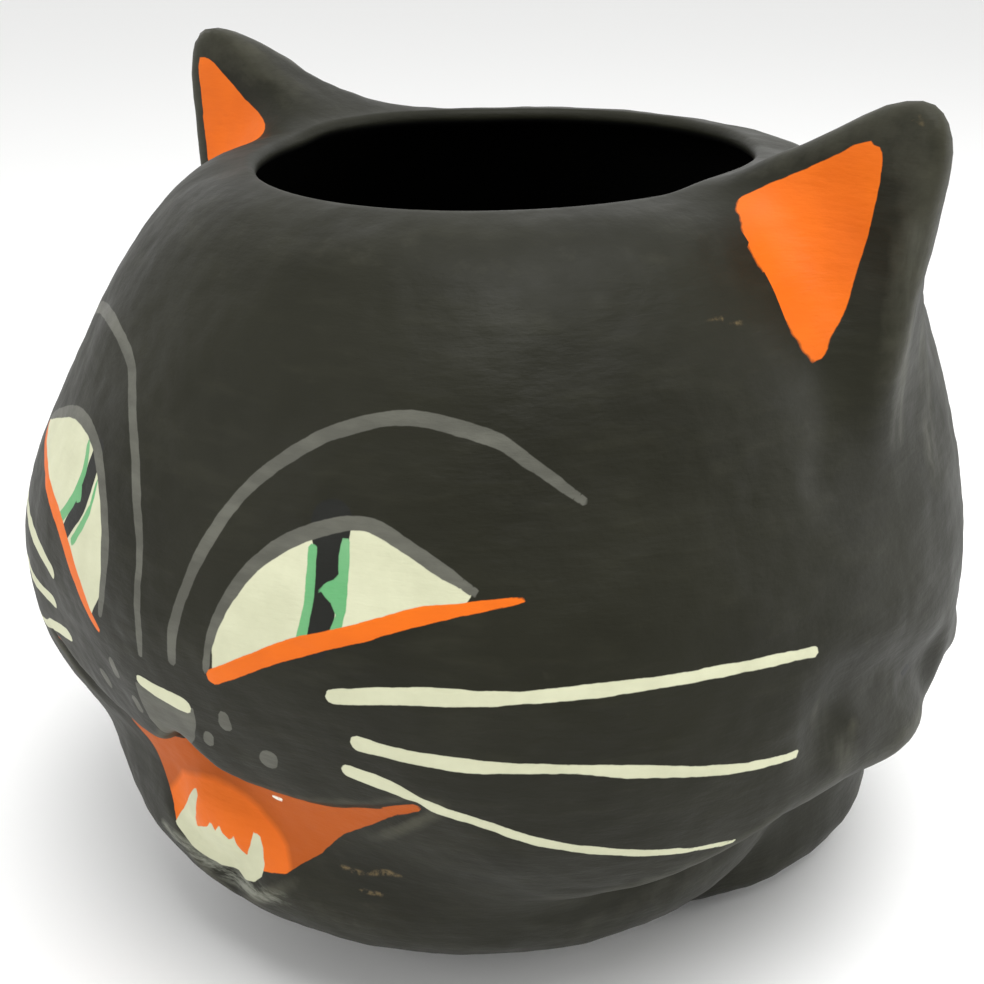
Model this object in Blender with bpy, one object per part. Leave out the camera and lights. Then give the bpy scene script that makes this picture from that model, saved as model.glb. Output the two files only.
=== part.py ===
# Papier-mache cat head, a hollow container that is open at the crown.
# Metres, Z up. The origin is the middle of the flat underside, and the face looks along -Y.
# The skull, the cheeks, the muzzle, the jaw, the foot and the ears are solid masses that run
# softly into each other. Each one is placed by shares of the head's own width, depth and height.
import math
import bpy
import numpy as np

MM = 0.001

HEAD_WIDTH = 260.0 * MM
HEAD_DEPTH = 268.0 * MM
RIM_HEIGHT = 210.0 * MM
WALL = 5.0 * MM
FLOOR = 8.0 * MM
OPENING_WIDTH = 128.0 * MM
OPENING_DEPTH = 146.0 * MM
FOOT_WIDTH = 205.0 * MM
FOOT_DEPTH = 182.0 * MM
FOOT_HEIGHT = 68.0 * MM
FOOT_ROUND = 19.0 * MM
EAR_SPREAD = 238.0 * MM
EAR_RISE = 30.0 * MM
EAR_ROUND = 9.0 * MM
MOUTH_WIDTH = 132.0 * MM
MOUTH_HEIGHT = 36.0 * MM
MOUTH_DROP = 126.0 * MM
MOUTH_DEPTH = 14.0 * MM
MOUTH_BACKING = 6.0 * MM
FOLD_DEPTH = 5.0 * MM
FOLD_WIDTH = 9.0 * MM
FLOOR_EDGE = 8.0 * MM
FLAT = 0.01 * MM

HALF_WIDTH = HEAD_WIDTH / 2
HALF_DEPTH = HEAD_DEPTH / 2
SOFT = HEAD_WIDTH / 260
COLUMNS = 96
OUTER_ROWS = 40
INNER_ROWS = 20
LIP_STEPS = 4
RAY_STEPS = 90
HALVINGS = 30


def at(x, y, z):
    # A place given in shares: half the width, half the depth, the height of the rim.
    return np.array([x * HALF_WIDTH, y * HALF_DEPTH, z * RIM_HEIGHT])


def soft_min(a, b, width):
    h = np.maximum(width - np.abs(a - b), 0.0) / width
    return np.minimum(a, b) - h * h * width / 4


def soft_max(a, b, width):
    return -soft_min(-a, -b, width)


def ellipsoid(p, centre, radii):
    q = (p - centre) / radii
    near = np.sqrt((q * q).sum(-1)) + 1e-9
    slope = np.sqrt(((q / radii) ** 2).sum(-1)) + 1e-9
    return near * (near - 1.0) / slope


def tapered_rod(p, start, end, start_radius, end_radius):
    along = end - start
    share = np.clip(((p - start) @ along) / (along @ along), 0, 1)
    gap = np.linalg.norm(p - start - share[..., None] * along, axis=-1)
    return gap - (start_radius + (end_radius - start_radius) * share)


def half_space(p, point, normal):
    n = np.array(normal) / np.linalg.norm(normal)
    return (p - point) @ n


def beyond_opening(p):
    # How far a point lies outside the upright oval of the opening.
    reach = np.hypot(p[..., 0] / (OPENING_WIDTH / 2), p[..., 1] / (OPENING_DEPTH / 2))
    return (reach - 1.0) * min(OPENING_WIDTH, OPENING_DEPTH) / 2


def below_cheeks(p):
    # How far a point lies under the cheeks' lower edge, which drops towards the chin.
    drop = 0.406 * np.minimum(p[..., 1] + 0.364 * HALF_DEPTH, 0.0)
    return FOOT_HEIGHT + drop - p[..., 2]


def skull_and_cheeks(p):
    body = ellipsoid(p, at(0, 0.02, 0.564), at(0.95, 1.00, 0.576))
    face = ellipsoid(p, at(0, -0.45, 0.56), at(0.75, 0.52, 0.21))
    body = soft_min(body, face, 24 * SOFT)
    cheek = ellipsoid(p, at(0.486, -0.08, 0.425), at(0.51, 0.744, 0.31))
    body = soft_min(body, cheek, 30 * SOFT)
    jowl = ellipsoid(p, at(0.635, 0, 0.341), at(0.38, 0.235, 0.131))
    body = soft_min(body, jowl, 12 * SOFT)
    nape = ellipsoid(p, at(0, 0.19, 0.37), at(0.75, 0.73, 0.24))
    body = soft_min(body, nape, 24 * SOFT)
    muzzle = ellipsoid(p, at(0, -0.575, 0.43), at(0.455, 0.34, 0.105))
    body = soft_min(body, muzzle, 20 * SOFT)
    edge = 11 + 22 * np.clip((p[..., 1] / HALF_DEPTH - 0.35) / 0.5, 0, 1)
    body = soft_max(body, below_cheeks(p), edge * SOFT)
    jaw = ellipsoid(p, at(0, -0.196, 0.206), at(0.789, 0.707, 0.198))
    return soft_min(body, jaw, 14 * SOFT)


def foot(p):
    # An oval block with a rounded lower edge, a little behind the middle of the head.
    middle_y = 0.23 * HALF_DEPTH
    reach = np.hypot(p[..., 0] / (FOOT_WIDTH / 2), (p[..., 1] - middle_y) / (FOOT_DEPTH / 2))
    side = (reach - 1.0) * min(FOOT_WIDTH, FOOT_DEPTH) / 2
    half_height = (FOOT_HEIGHT + FOOT_ROUND) / 2
    up = np.abs(p[..., 2] - half_height) - half_height
    edge = min(FOOT_ROUND, half_height * 0.9)
    corner = np.hypot(np.maximum(side + edge, 0), np.maximum(up + edge, 0))
    return np.minimum(np.maximum(side, up) + edge, 0) + corner - edge


def ear_tip():
    return np.array([EAR_SPREAD / 2, -0.015 * HALF_DEPTH, RIM_HEIGHT + EAR_RISE])


def ear(p):
    # Four faces that meet near the tip: the front, the outside, the back and the side by the opening.
    tip = ear_tip()
    front = half_space(p, tip, (-0.08, -0.99, 0.05)) - EAR_ROUND * 0.40
    outer = half_space(p, tip, (0.95, 0.30, -0.14)) - EAR_ROUND * 1.07
    back = half_space(p, tip, (0.22, 0.87, 0.18)) - EAR_ROUND * 1.24
    inner = half_space(p, tip, (-0.50, 0.16, 0.85)) - EAR_ROUND * 0.12
    corner = soft_max(outer, inner, 2.8 * EAR_ROUND)
    shape = soft_max(soft_max(front, back, EAR_ROUND), corner, EAR_ROUND)
    root = half_space(p, at(0.80, 0, 0.72), (0.25, 0.0, -0.97))
    shape = soft_max(shape, root, 3 * EAR_ROUND)
    return soft_max(shape, 2.4 * WALL - beyond_opening(p), 2 * WALL)


def tuft(p):
    start = at(0.735, -0.194, 0.51)
    end = at(0.856, 0.38, 0.373)
    return tapered_rod(p, start, end, 25.6 * SOFT, 10 * SOFT)


def folds(p):
    # A soft groove under the cheek tuft, which turns down at its front end.
    places = [at(1.00, -0.30, 0.455), at(1.00, -0.25, 0.487), at(1.01, -0.09, 0.465), at(1.0, 0.12, 0.415)]
    runs = zip(places[:-1], places[1:])
    gap = np.minimum.reduce([tapered_rod(p, start, end, 0.0, 0.0) for start, end in runs])
    return FOLD_DEPTH * np.exp(-((gap / FOLD_WIDTH) ** 2))


def lip_line(x):
    # The edge of the upper lip: a point under the nose, a dip on each side of it, a rise to the corners.
    share = np.minimum(x / (MOUTH_WIDTH / 2), 1.0)
    point = 0.31 * np.exp(-((share / 0.136) ** 2))
    rise = 0.34 * (np.maximum(share - 0.33, 0.0) / 0.67) ** 2
    return RIM_HEIGHT - MOUTH_DROP + MOUTH_HEIGHT * (point + rise - 0.22)


def mouth_space(p):
    # The open grin: deep under the upper lip, with sides that slope down to the teeth.
    half = MOUTH_WIDTH / 2
    x = np.abs(p[..., 0])
    y = p[..., 1] - 0.39 * x * x / HALF_WIDTH
    upper = p[..., 2] - lip_line(x)
    run = half * 0.62
    side = ((x - half) * MOUTH_HEIGHT - (p[..., 2] - lip_line(half)) * run) / math.hypot(MOUTH_HEIGHT, run)
    back = y + 0.978 * HALF_DEPTH - MOUTH_DEPTH + 0.15 * x
    return soft_max(soft_max(upper, side, 5 * SOFT), back, 5 * SOFT)


def lower_lip(p):
    # A ledge that swells out of the mouth and carries the teeth.
    centre = at(0, -0.765, 0)
    centre[2] = RIM_HEIGHT - MOUTH_DROP - MOUTH_HEIGHT * 0.74
    return ellipsoid(p, centre, np.array([MOUTH_WIDTH * 0.18, 0.15 * HALF_DEPTH, MOUTH_HEIGHT * 0.52]))


def mirrored(points):
    p = np.array(points, dtype=float)
    p[..., 0] = np.abs(p[..., 0])
    return p


def outside(points):
    # Less than nothing inside the head, more than nothing outside it.
    p = mirrored(points)
    d = skull_and_cheeks(p)
    d = soft_max(d, p[..., 2] - RIM_HEIGHT, 10 * SOFT)
    d = soft_min(d, foot(p), 6 * SOFT)
    d = soft_min(d, ear(p), 19 * SOFT)
    d = soft_min(d, tuft(p), 8 * SOFT)
    d = d + folds(p)
    d = soft_max(d, -mouth_space(p), 4 * SOFT)
    d = soft_min(d, lower_lip(p), 4 * SOFT)
    # The foot is cut off flat, so that the head stands.
    return np.maximum(d, -p[..., 2])


def inside(points):
    # The hollow follows the plain masses of the head, one wall further in. The mouth is backed thicker.
    p = mirrored(points)
    d = soft_max(skull_and_cheeks(p), p[..., 2] - RIM_HEIGHT, 10 * SOFT)
    d = soft_min(d, foot(p), 6 * SOFT)
    d = soft_max(d, MOUTH_BACKING - mouth_space(p), 4 * SOFT)
    return soft_max(d + WALL, FLOOR - p[..., 2], FLOOR_EDGE)


def crossing(field, origin, directions, far):
    # The last place where each ray leaves the shape, found by steps and then by halving.
    steps = np.linspace(0.0, far, RAY_STEPS)
    p = origin + directions[:, None, :] * steps[None, :, None]
    solid = field(p) < 0
    last = solid.shape[1] - 1 - np.argmax(solid[:, ::-1], axis=1)
    low = steps[last]
    high = steps[np.minimum(last + 1, len(steps) - 1)]
    for _ in range(HALVINGS):
        mid = (low + high) / 2
        full = field(origin + directions * mid[:, None]) < 0
        low = np.where(full, mid, low)
        high = np.where(full, high, mid)
    return origin + directions * ((low + high) / 2)[:, None]


def spread(count, start, end, closeness):
    # Values from start to end that lie closer together where closeness is high.
    fine = np.linspace(start, end, 2001)
    weight = closeness(fine)
    total = np.concatenate([[0.0], np.cumsum((weight[1:] + weight[:-1]) / 2)])
    return np.interp(np.linspace(0, total[-1], count), total, fine)


def bell(value, middle, width):
    return np.exp(-((value - middle) / width) ** 2)


def column_closeness(angle):
    ears = bell(angle, 0.0, 0.26) + bell(angle, math.pi, 0.26) + bell(angle, 2 * math.pi, 0.26)
    mouth = bell(angle, 1.5 * math.pi, 0.55)
    return 1.0 + 2.0 * ears + 0.8 * mouth


def row_closeness(share):
    # Rings lie closer at the ears, and at the mouth and the cheeks' lower edge.
    return 1.0 + 1.7 * bell(share, 0.06, 0.13) + 1.5 * bell(share, 0.53, 0.12)


def inner_closeness(share):
    return 1.0 + 3.0 * bell(share, 0.56, 0.10)


CORE = np.array([0.0, 0.0, RIM_HEIGHT * 0.54])
FAR = 2.2 * max(HALF_WIDTH, HALF_DEPTH, RIM_HEIGHT + EAR_RISE)


def ring_angles(count):
    return spread(count + 1, 0.0, 2 * math.pi, column_closeness)[:-1]


def rim_points(field, angles):
    # Points above the middle of the lip, dropped onto the shape.
    away = np.stack([np.cos(angles), np.sin(angles)], -1)
    hole = 1.0 / np.hypot(away[:, 0] / (OPENING_WIDTH / 2), away[:, 1] / (OPENING_DEPTH / 2))
    flat = away * (hole + WALL / 2)[:, None]
    low = np.full(len(angles), RIM_HEIGHT * 0.80)
    high = np.full(len(angles), RIM_HEIGHT + EAR_RISE)
    for _ in range(HALVINGS):
        mid = (low + high) / 2
        full = field(np.column_stack([flat, mid])) < 0
        low = np.where(full, mid, low)
        high = np.where(full, high, mid)
    return np.column_stack([flat, (low + high) / 2]), away


def shell_rows(field, start_ring, count, closeness):
    # Rings of points from the ring at the lip down to just before the middle of the underside.
    toward = start_ring - CORE
    first = np.arctan2(np.hypot(toward[:, 0], toward[:, 1]), toward[:, 2])
    heading = np.arctan2(toward[:, 1], toward[:, 0])
    rings = [start_ring]
    for share in spread(count + 1, 0.0, 1.0, closeness)[1:-1]:
        polar = first + (math.pi - first) * share
        level = np.sin(polar)
        directions = np.column_stack([level * np.cos(heading), level * np.sin(heading), np.cos(polar)])
        rings.append(crossing(field, CORE, directions, FAR))
    return rings


def build_shell():
    angles = ring_angles(COLUMNS)
    top_ring, away = rim_points(outside, angles)
    outer_rings = shell_rows(outside, top_ring, OUTER_ROWS, row_closeness)
    # Of the rings that lie wholly on the flat underside only the widest is kept.
    standing = [ring for ring in outer_rings if ring[:, 2].max() < FLAT]
    outer_rings = [ring for ring in outer_rings if ring[:, 2].max() >= FLAT] + standing[:1]
    half_wall = WALL / 2
    lip_middle = top_ring - np.array([0.0, 0.0, half_wall])
    lip_rings = []
    for step in range(1, LIP_STEPS):
        turn = math.pi * step / LIP_STEPS
        shift = np.column_stack([-away * math.sin(turn), np.full(COLUMNS, math.cos(turn))])
        lip_rings.append(lip_middle + shift * half_wall)
    under_ring = lip_middle - np.array([0.0, 0.0, half_wall])
    inner_rings = shell_rows(inside, under_ring, INNER_ROWS, inner_closeness)
    inner_rings = inner_rings[:1] + [ring[::2] for ring in inner_rings[1:]]
    rings = outer_rings[::-1] + lip_rings + inner_rings
    points = []
    starts = []
    sizes = []
    for ring in rings:
        starts.append(len(points))
        sizes.append(len(ring))
        points.extend(map(tuple, ring))
    faces = []
    for k in range(len(rings) - 1):
        a, b, n, m = starts[k], starts[k + 1], sizes[k], sizes[k + 1]
        for i in range(m):
            j = (i + 1) % m
            if n == m:
                faces.append((a + i, b + i, b + j, a + j))
            else:
                # Every second column ends here, so three triangles join the two rings.
                low, mid, high = 2 * i, 2 * i + 1, (2 * i + 2) % n
                faces.append((a + low, b + i, a + mid))
                faces.append((a + mid, b + i, b + j))
                faces.append((a + mid, b + j, a + high))
    below = len(points)
    points.append((0.0, 0.0, 0.0))
    floor_middle = len(points)
    points.append((0.0, 0.0, FLOOR))
    for i in range(sizes[0]):
        faces.append((below, starts[0] + i, starts[0] + (i + 1) % sizes[0]))
    for i in range(sizes[-1]):
        faces.append((floor_middle, starts[-1] + (i + 1) % sizes[-1], starts[-1] + i))
    return points, faces


def make_object():
    points, faces = build_shell()
    mesh = bpy.data.meshes.new("cat_head")
    mesh.from_pydata(points, [], faces)
    mesh.validate()
    mesh.update()
    volume = 0.0
    for polygon in mesh.polygons:
        corners = [mesh.vertices[v].co for v in polygon.vertices]
        for k in range(1, len(corners) - 1):
            volume += corners[0].dot(corners[k].cross(corners[k + 1])) / 6
    if volume < 0:
        mesh.flip_normals()
    mesh.polygons.foreach_set("use_smooth", [True] * len(mesh.polygons))
    head = bpy.data.objects.new("cat_head", mesh)
    bpy.context.collection.objects.link(head)
    paint = bpy.data.materials.new("painted_papier_mache")
    paint.use_nodes = True
    shader = paint.node_tree.nodes["Principled BSDF"]
    shader.inputs["Base Color"].default_value = (0.028, 0.027, 0.021, 1.0)
    shader.inputs["Roughness"].default_value = 0.55
    mesh.materials.append(paint)
    return head


for old in list(bpy.data.objects):
    bpy.data.objects.remove(old, do_unlink=True)

make_object()
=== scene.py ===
# %% [markdown]
# This is a cat's head of papier-mache: paper pulp pressed over a form, dried, and painted by hand.
# It is hollow and open at the crown, so it works as a container. The whole head is one piece, and
# everything on its face but the mouth is only paint. The lesson builds the shell as one closed
# mesh, gives it the small lumps of dried pulp, and then paints the face with brush strokes that
# are placed by angle and height.

# %% Tools and the frame
import math

import bpy
import numpy as np
from mathutils import Matrix, Vector


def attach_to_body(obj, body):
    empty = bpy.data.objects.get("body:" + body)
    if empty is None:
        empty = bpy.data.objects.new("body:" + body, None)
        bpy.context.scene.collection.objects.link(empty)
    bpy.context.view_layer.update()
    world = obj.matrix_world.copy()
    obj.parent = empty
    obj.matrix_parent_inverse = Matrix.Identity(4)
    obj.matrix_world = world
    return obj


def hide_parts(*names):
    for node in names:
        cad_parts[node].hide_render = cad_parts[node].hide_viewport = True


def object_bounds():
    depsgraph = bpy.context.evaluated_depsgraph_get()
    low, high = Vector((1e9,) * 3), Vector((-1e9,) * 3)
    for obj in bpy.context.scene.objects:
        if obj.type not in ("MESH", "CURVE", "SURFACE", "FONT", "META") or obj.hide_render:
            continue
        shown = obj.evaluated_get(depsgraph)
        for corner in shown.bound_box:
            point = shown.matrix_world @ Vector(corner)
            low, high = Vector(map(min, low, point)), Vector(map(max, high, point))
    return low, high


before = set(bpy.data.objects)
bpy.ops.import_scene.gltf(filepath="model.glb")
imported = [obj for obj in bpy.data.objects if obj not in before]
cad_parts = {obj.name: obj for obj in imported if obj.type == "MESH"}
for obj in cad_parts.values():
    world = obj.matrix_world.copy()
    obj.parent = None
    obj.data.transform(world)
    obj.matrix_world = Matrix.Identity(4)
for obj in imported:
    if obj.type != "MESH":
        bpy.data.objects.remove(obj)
cad_box = [list(corner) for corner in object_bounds()]
print("frame box in mm:", [[round(1000 * v) for v in corner] for corner in cad_box])

# %% [markdown]
# The sizes are those of the solid head, so that the finished mesh lies on it. A few of them drive
# everything: how wide and deep the head is, how high its rim stands, and how thick the wall is.

# %% Sizes of the head
MM = 0.001
HEAD_WIDTH = 260.0 * MM
HEAD_DEPTH = 268.0 * MM
RIM_HEIGHT = 210.0 * MM
WALL = 5.0 * MM
FLOOR = 8.0 * MM
OPENING_WIDTH = 128.0 * MM
OPENING_DEPTH = 146.0 * MM
FOOT_WIDTH = 205.0 * MM
FOOT_DEPTH = 182.0 * MM
FOOT_HEIGHT = 68.0 * MM
FOOT_ROUND = 19.0 * MM
EAR_SPREAD = 238.0 * MM
EAR_RISE = 30.0 * MM
EAR_ROUND = 9.0 * MM
MOUTH_WIDTH = 132.0 * MM
MOUTH_HEIGHT = 36.0 * MM
MOUTH_DROP = 126.0 * MM
MOUTH_DEPTH = 14.0 * MM
MOUTH_BACKING = 6.0 * MM
FOLD_DEPTH = 5.0 * MM
FOLD_WIDTH = 9.0 * MM
FLOOR_EDGE = 8.0 * MM
HALF_WIDTH = HEAD_WIDTH / 2
HALF_DEPTH = HEAD_DEPTH / 2
SOFT = HEAD_WIDTH / 260
print("wall in mm:", WALL / MM, "rim height in mm:", RIM_HEIGHT / MM)

# %% [markdown]
# A modeller in pulp adds lump to lump and smooths the joins with wet fingers. The same can be done
# with distances: each mass is a function that says how far a point lies outside it, and a soft
# minimum runs two masses into each other. It could be sculpted by hand too, but functions let
# every mass follow the named sizes.

# %% Distances to simple masses, and how they join


def at(x, y, z):
    # A place given in shares: half the width, half the depth, the height of the rim.
    return np.array([x * HALF_WIDTH, y * HALF_DEPTH, z * RIM_HEIGHT])


def soft_min(a, b, width):
    h = np.maximum(width - np.abs(a - b), 0.0) / width
    return np.minimum(a, b) - h * h * width / 4


def soft_max(a, b, width):
    return -soft_min(-a, -b, width)


def ellipsoid(p, centre, radii):
    q = (p - centre) / radii
    near = np.sqrt((q * q).sum(-1)) + 1e-9
    slope = np.sqrt(((q / radii) ** 2).sum(-1)) + 1e-9
    return near * (near - 1.0) / slope


def tapered_rod(p, start, end, start_radius, end_radius):
    along = end - start
    share = np.clip(((p - start) @ along) / (along @ along), 0, 1)
    gap = np.linalg.norm(p - start - share[..., None] * along, axis=-1)
    return gap - (start_radius + (end_radius - start_radius) * share)


def half_space(p, point, normal):
    n = np.array(normal) / np.linalg.norm(normal)
    return (p - point) @ n


def beyond_opening(p):
    # How far a point lies outside the upright oval of the opening.
    reach = np.hypot(p[..., 0] / (OPENING_WIDTH / 2), p[..., 1] / (OPENING_DEPTH / 2))
    return (reach - 1.0) * min(OPENING_WIDTH, OPENING_DEPTH) / 2


# %% [markdown]
# The skull is a broad egg. The brow, cheeks, jowls, nape, muzzle and jaw are flatter eggs that
# swell out of it. The cheeks end below in an edge that drops towards the chin, and under it the
# head sits on an oval foot that is set in.

# %% Skull, cheeks and foot


def below_cheeks(p):
    # How far a point lies under the cheeks' lower edge, which drops towards the chin.
    drop = 0.406 * np.minimum(p[..., 1] + 0.364 * HALF_DEPTH, 0.0)
    return FOOT_HEIGHT + drop - p[..., 2]


def skull_and_cheeks(p):
    body = ellipsoid(p, at(0, 0.02, 0.564), at(0.95, 1.00, 0.576))
    face = ellipsoid(p, at(0, -0.45, 0.56), at(0.75, 0.52, 0.21))
    body = soft_min(body, face, 24 * SOFT)
    cheek = ellipsoid(p, at(0.486, -0.08, 0.425), at(0.51, 0.744, 0.31))
    body = soft_min(body, cheek, 30 * SOFT)
    jowl = ellipsoid(p, at(0.635, 0, 0.341), at(0.38, 0.235, 0.131))
    body = soft_min(body, jowl, 12 * SOFT)
    nape = ellipsoid(p, at(0, 0.19, 0.37), at(0.75, 0.73, 0.24))
    body = soft_min(body, nape, 24 * SOFT)
    muzzle = ellipsoid(p, at(0, -0.575, 0.43), at(0.455, 0.34, 0.105))
    body = soft_min(body, muzzle, 20 * SOFT)
    edge = 11 + 22 * np.clip((p[..., 1] / HALF_DEPTH - 0.35) / 0.5, 0, 1)
    body = soft_max(body, below_cheeks(p), edge * SOFT)
    jaw = ellipsoid(p, at(0, -0.196, 0.206), at(0.789, 0.707, 0.198))
    return soft_min(body, jaw, 14 * SOFT)


def foot(p):
    middle_y = 0.23 * HALF_DEPTH
    reach = np.hypot(p[..., 0] / (FOOT_WIDTH / 2), (p[..., 1] - middle_y) / (FOOT_DEPTH / 2))
    side = (reach - 1.0) * min(FOOT_WIDTH, FOOT_DEPTH) / 2
    half_height = (FOOT_HEIGHT + FOOT_ROUND) / 2
    up = np.abs(p[..., 2] - half_height) - half_height
    edge = min(FOOT_ROUND, half_height * 0.9)
    corner = np.hypot(np.maximum(side + edge, 0), np.maximum(up + edge, 0))
    return np.minimum(np.maximum(side, up) + edge, 0) + corner - edge


# %% [markdown]
# Each ear is a leaf with four faces: the painted front, the outside, the back, and the long slope
# that runs down to the opening. Below the outer ear a tuft of cheek fur is modelled in the pulp,
# with a fold under it. A crease runs down from the front of the ear into the cheek.

# %% Ears, tufts and folds


def ear(p):
    tip = np.array([EAR_SPREAD / 2, -0.015 * HALF_DEPTH, RIM_HEIGHT + EAR_RISE])
    front = half_space(p, tip, (-0.08, -0.99, 0.05)) - EAR_ROUND * 0.40
    outer = half_space(p, tip, (0.95, 0.30, -0.14)) - EAR_ROUND * 1.07
    back = half_space(p, tip, (0.22, 0.87, 0.18)) - EAR_ROUND * 1.24
    inner = half_space(p, tip, (-0.50, 0.16, 0.85)) - EAR_ROUND * 0.12
    corner = soft_max(outer, inner, 2.8 * EAR_ROUND)
    shape = soft_max(soft_max(front, back, EAR_ROUND), corner, EAR_ROUND)
    root = half_space(p, at(0.80, 0, 0.72), (0.25, 0.0, -0.97))
    shape = soft_max(shape, root, 3 * EAR_ROUND)
    return soft_max(shape, 2.4 * WALL - beyond_opening(p), 2 * WALL)


def tuft(p):
    return tapered_rod(p, at(0.735, -0.194, 0.51), at(0.856, 0.38, 0.373), 25.6 * SOFT, 10 * SOFT)


def folds(p):
    places = [at(1.00, -0.30, 0.455), at(1.00, -0.25, 0.487), at(1.01, -0.09, 0.465), at(1.0, 0.12, 0.415)]
    runs = zip(places[:-1], places[1:])
    gap = np.minimum.reduce([tapered_rod(p, start, end, 0.0, 0.0) for start, end in runs])
    return FOLD_DEPTH * np.exp(-((gap / FOLD_WIDTH) ** 2))


def ear_crease(p):
    gap = tapered_rod(p, at(0.87, -0.155, 0.84), at(0.90, -0.24, 0.73), 0.0, 0.0)
    return 1.6 * MM * np.exp(-((gap / (4 * MM)) ** 2))


# %% [markdown]
# The grin is the one part of the face that is carved. Its space is cut in under an upper lip with
# a point in its middle and a dip on each side of it, and the lower lip swells back out of it as a
# small ledge that carries the teeth.

# %% Mouth


def lip_line(x):
    # The edge of the upper lip: a point under the nose, a dip on each side of it, a rise to the corners.
    share = np.minimum(x / (MOUTH_WIDTH / 2), 1.0)
    point = 0.31 * np.exp(-((share / 0.136) ** 2))
    rise = 0.34 * (np.maximum(share - 0.33, 0.0) / 0.67) ** 2
    return RIM_HEIGHT - MOUTH_DROP + MOUTH_HEIGHT * (point + rise - 0.22)


def mouth_space(p):
    # The open grin: deep under the upper lip, with sides that slope down to the teeth.
    half = MOUTH_WIDTH / 2
    x = np.abs(p[..., 0])
    y = p[..., 1] - 0.39 * x * x / HALF_WIDTH
    upper = p[..., 2] - lip_line(x)
    run = half * 0.62
    side = ((x - half) * MOUTH_HEIGHT - (p[..., 2] - lip_line(half)) * run) / math.hypot(MOUTH_HEIGHT, run)
    back = y + 0.978 * HALF_DEPTH - MOUTH_DEPTH + 0.15 * x
    return soft_max(soft_max(upper, side, 5 * SOFT), back, 5 * SOFT)


def lower_lip(p):
    # A ledge that swells out of the mouth and carries the teeth.
    centre = at(0, -0.765, 0)
    centre[2] = RIM_HEIGHT - MOUTH_DROP - MOUTH_HEIGHT * 0.74
    return ellipsoid(p, centre, np.array([MOUTH_WIDTH * 0.18, 0.15 * HALF_DEPTH, MOUTH_HEIGHT * 0.52]))


# %% [markdown]
# Two fields describe the shell. The outer one joins all the masses, and the inner one follows only
# the plain masses, one wall further in, as a hollow pressed over a simple form would.

# %% Outer and inner field


def mirrored(points):
    p = np.array(points, dtype=float)
    p[..., 0] = np.abs(p[..., 0])
    return p


def outside(points):
    # Less than nothing inside the head, more than nothing outside it.
    p = mirrored(points)
    d = skull_and_cheeks(p)
    d = soft_max(d, p[..., 2] - RIM_HEIGHT, 10 * SOFT)
    d = soft_min(d, foot(p), 6 * SOFT)
    d = soft_min(d, ear(p), 19 * SOFT)
    d = soft_min(d, tuft(p), 8 * SOFT)
    d = d + folds(p) + ear_crease(p)
    d = soft_max(d, -mouth_space(p), 4 * SOFT)
    d = soft_min(d, lower_lip(p), 4 * SOFT)
    # The foot is cut off flat, so that the head stands.
    return np.maximum(d, -p[..., 2])


def inside(points):
    p = mirrored(points)
    d = soft_max(skull_and_cheeks(p), p[..., 2] - RIM_HEIGHT, 10 * SOFT)
    d = soft_min(d, foot(p), 6 * SOFT)
    d = soft_max(d, MOUTH_BACKING - mouth_space(p), 4 * SOFT)
    return soft_max(d + WALL, FLOOR - p[..., 2], FLOOR_EDGE)


def crossing(field, origins, directions, far, steps=64, halvings=18):
    # The last place where each ray leaves the shape, found by steps and then by halving.
    reach = np.linspace(0.0, far, steps)
    along = directions[:, None, :] * reach[None, :, None]
    solid = field(origins[:, None, :] + along) < 0
    last = steps - 1 - np.argmax(solid[:, ::-1], axis=1)
    low = reach[last]
    high = reach[np.minimum(last + 1, steps - 1)]
    for _ in range(halvings):
        mid = (low + high) / 2
        full = field(origins + directions * mid[:, None]) < 0
        low = np.where(full, mid, low)
        high = np.where(full, high, mid)
    return origins + directions * ((low + high) / 2)[:, None]


def steepness(field, points, step=0.4 * MM):
    # The direction in which the distance grows fastest, which is the surface's outward normal.
    slopes = []
    for axis in np.eye(3) * step:
        slopes.append(field(points + axis) - field(points - axis))
    slope = np.stack(slopes, -1)
    return slope / (np.linalg.norm(slope, axis=-1, keepdims=True) + 1e-12)


# %% [markdown]
# The mesh is a set of rings round the head, found by rays from a point inside it. Rings and
# columns lie closer together where the surface turns away fast, as on an ear, and on the face,
# where the paint needs fine points. A first coarse pass measures where that is. The closeness
# values say how much closer the rings and columns lie there than elsewhere.

# %% Where the rings and columns go
COLUMNS = 480
OUTER_ROWS = 192
INNER_ROWS = 32
INNER_STEP = 4
LIP_STEPS = 6
COARSE_COLUMNS = 2160
COARSE_ROWS = 40
CORE = np.array([0.0, 0.0, RIM_HEIGHT * 0.54])
FAR = 2.2 * max(HALF_WIDTH, HALF_DEPTH, RIM_HEIGHT + EAR_RISE)
FACE_CLOSENESS = 1.9
UNDERSIDE_CLOSENESS = 0.08
EAR_CLOSENESS = 1.8
FACE_HALF_ANGLE = math.radians(72)
FACE_TOP = 182.0 * MM
FACE_LOW = 36.0 * MM
EAR_LOW = 192.0 * MM


def rim_points(field, headings):
    # Points above the middle of the lip, dropped onto the shape.
    away = np.stack([np.cos(headings), np.sin(headings)], -1)
    hole = 1.0 / np.hypot(away[:, 0] / (OPENING_WIDTH / 2), away[:, 1] / (OPENING_DEPTH / 2))
    flat = away * (hole + WALL / 2)[:, None]
    low = np.full(len(headings), RIM_HEIGHT * 0.80)
    high = np.full(len(headings), RIM_HEIGHT + EAR_RISE)
    for _ in range(30):
        mid = (low + high) / 2
        full = field(np.column_stack([flat, mid])) < 0
        low = np.where(full, mid, low)
        high = np.where(full, high, mid)
    return np.column_stack([flat, (low + high) / 2]), away


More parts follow.
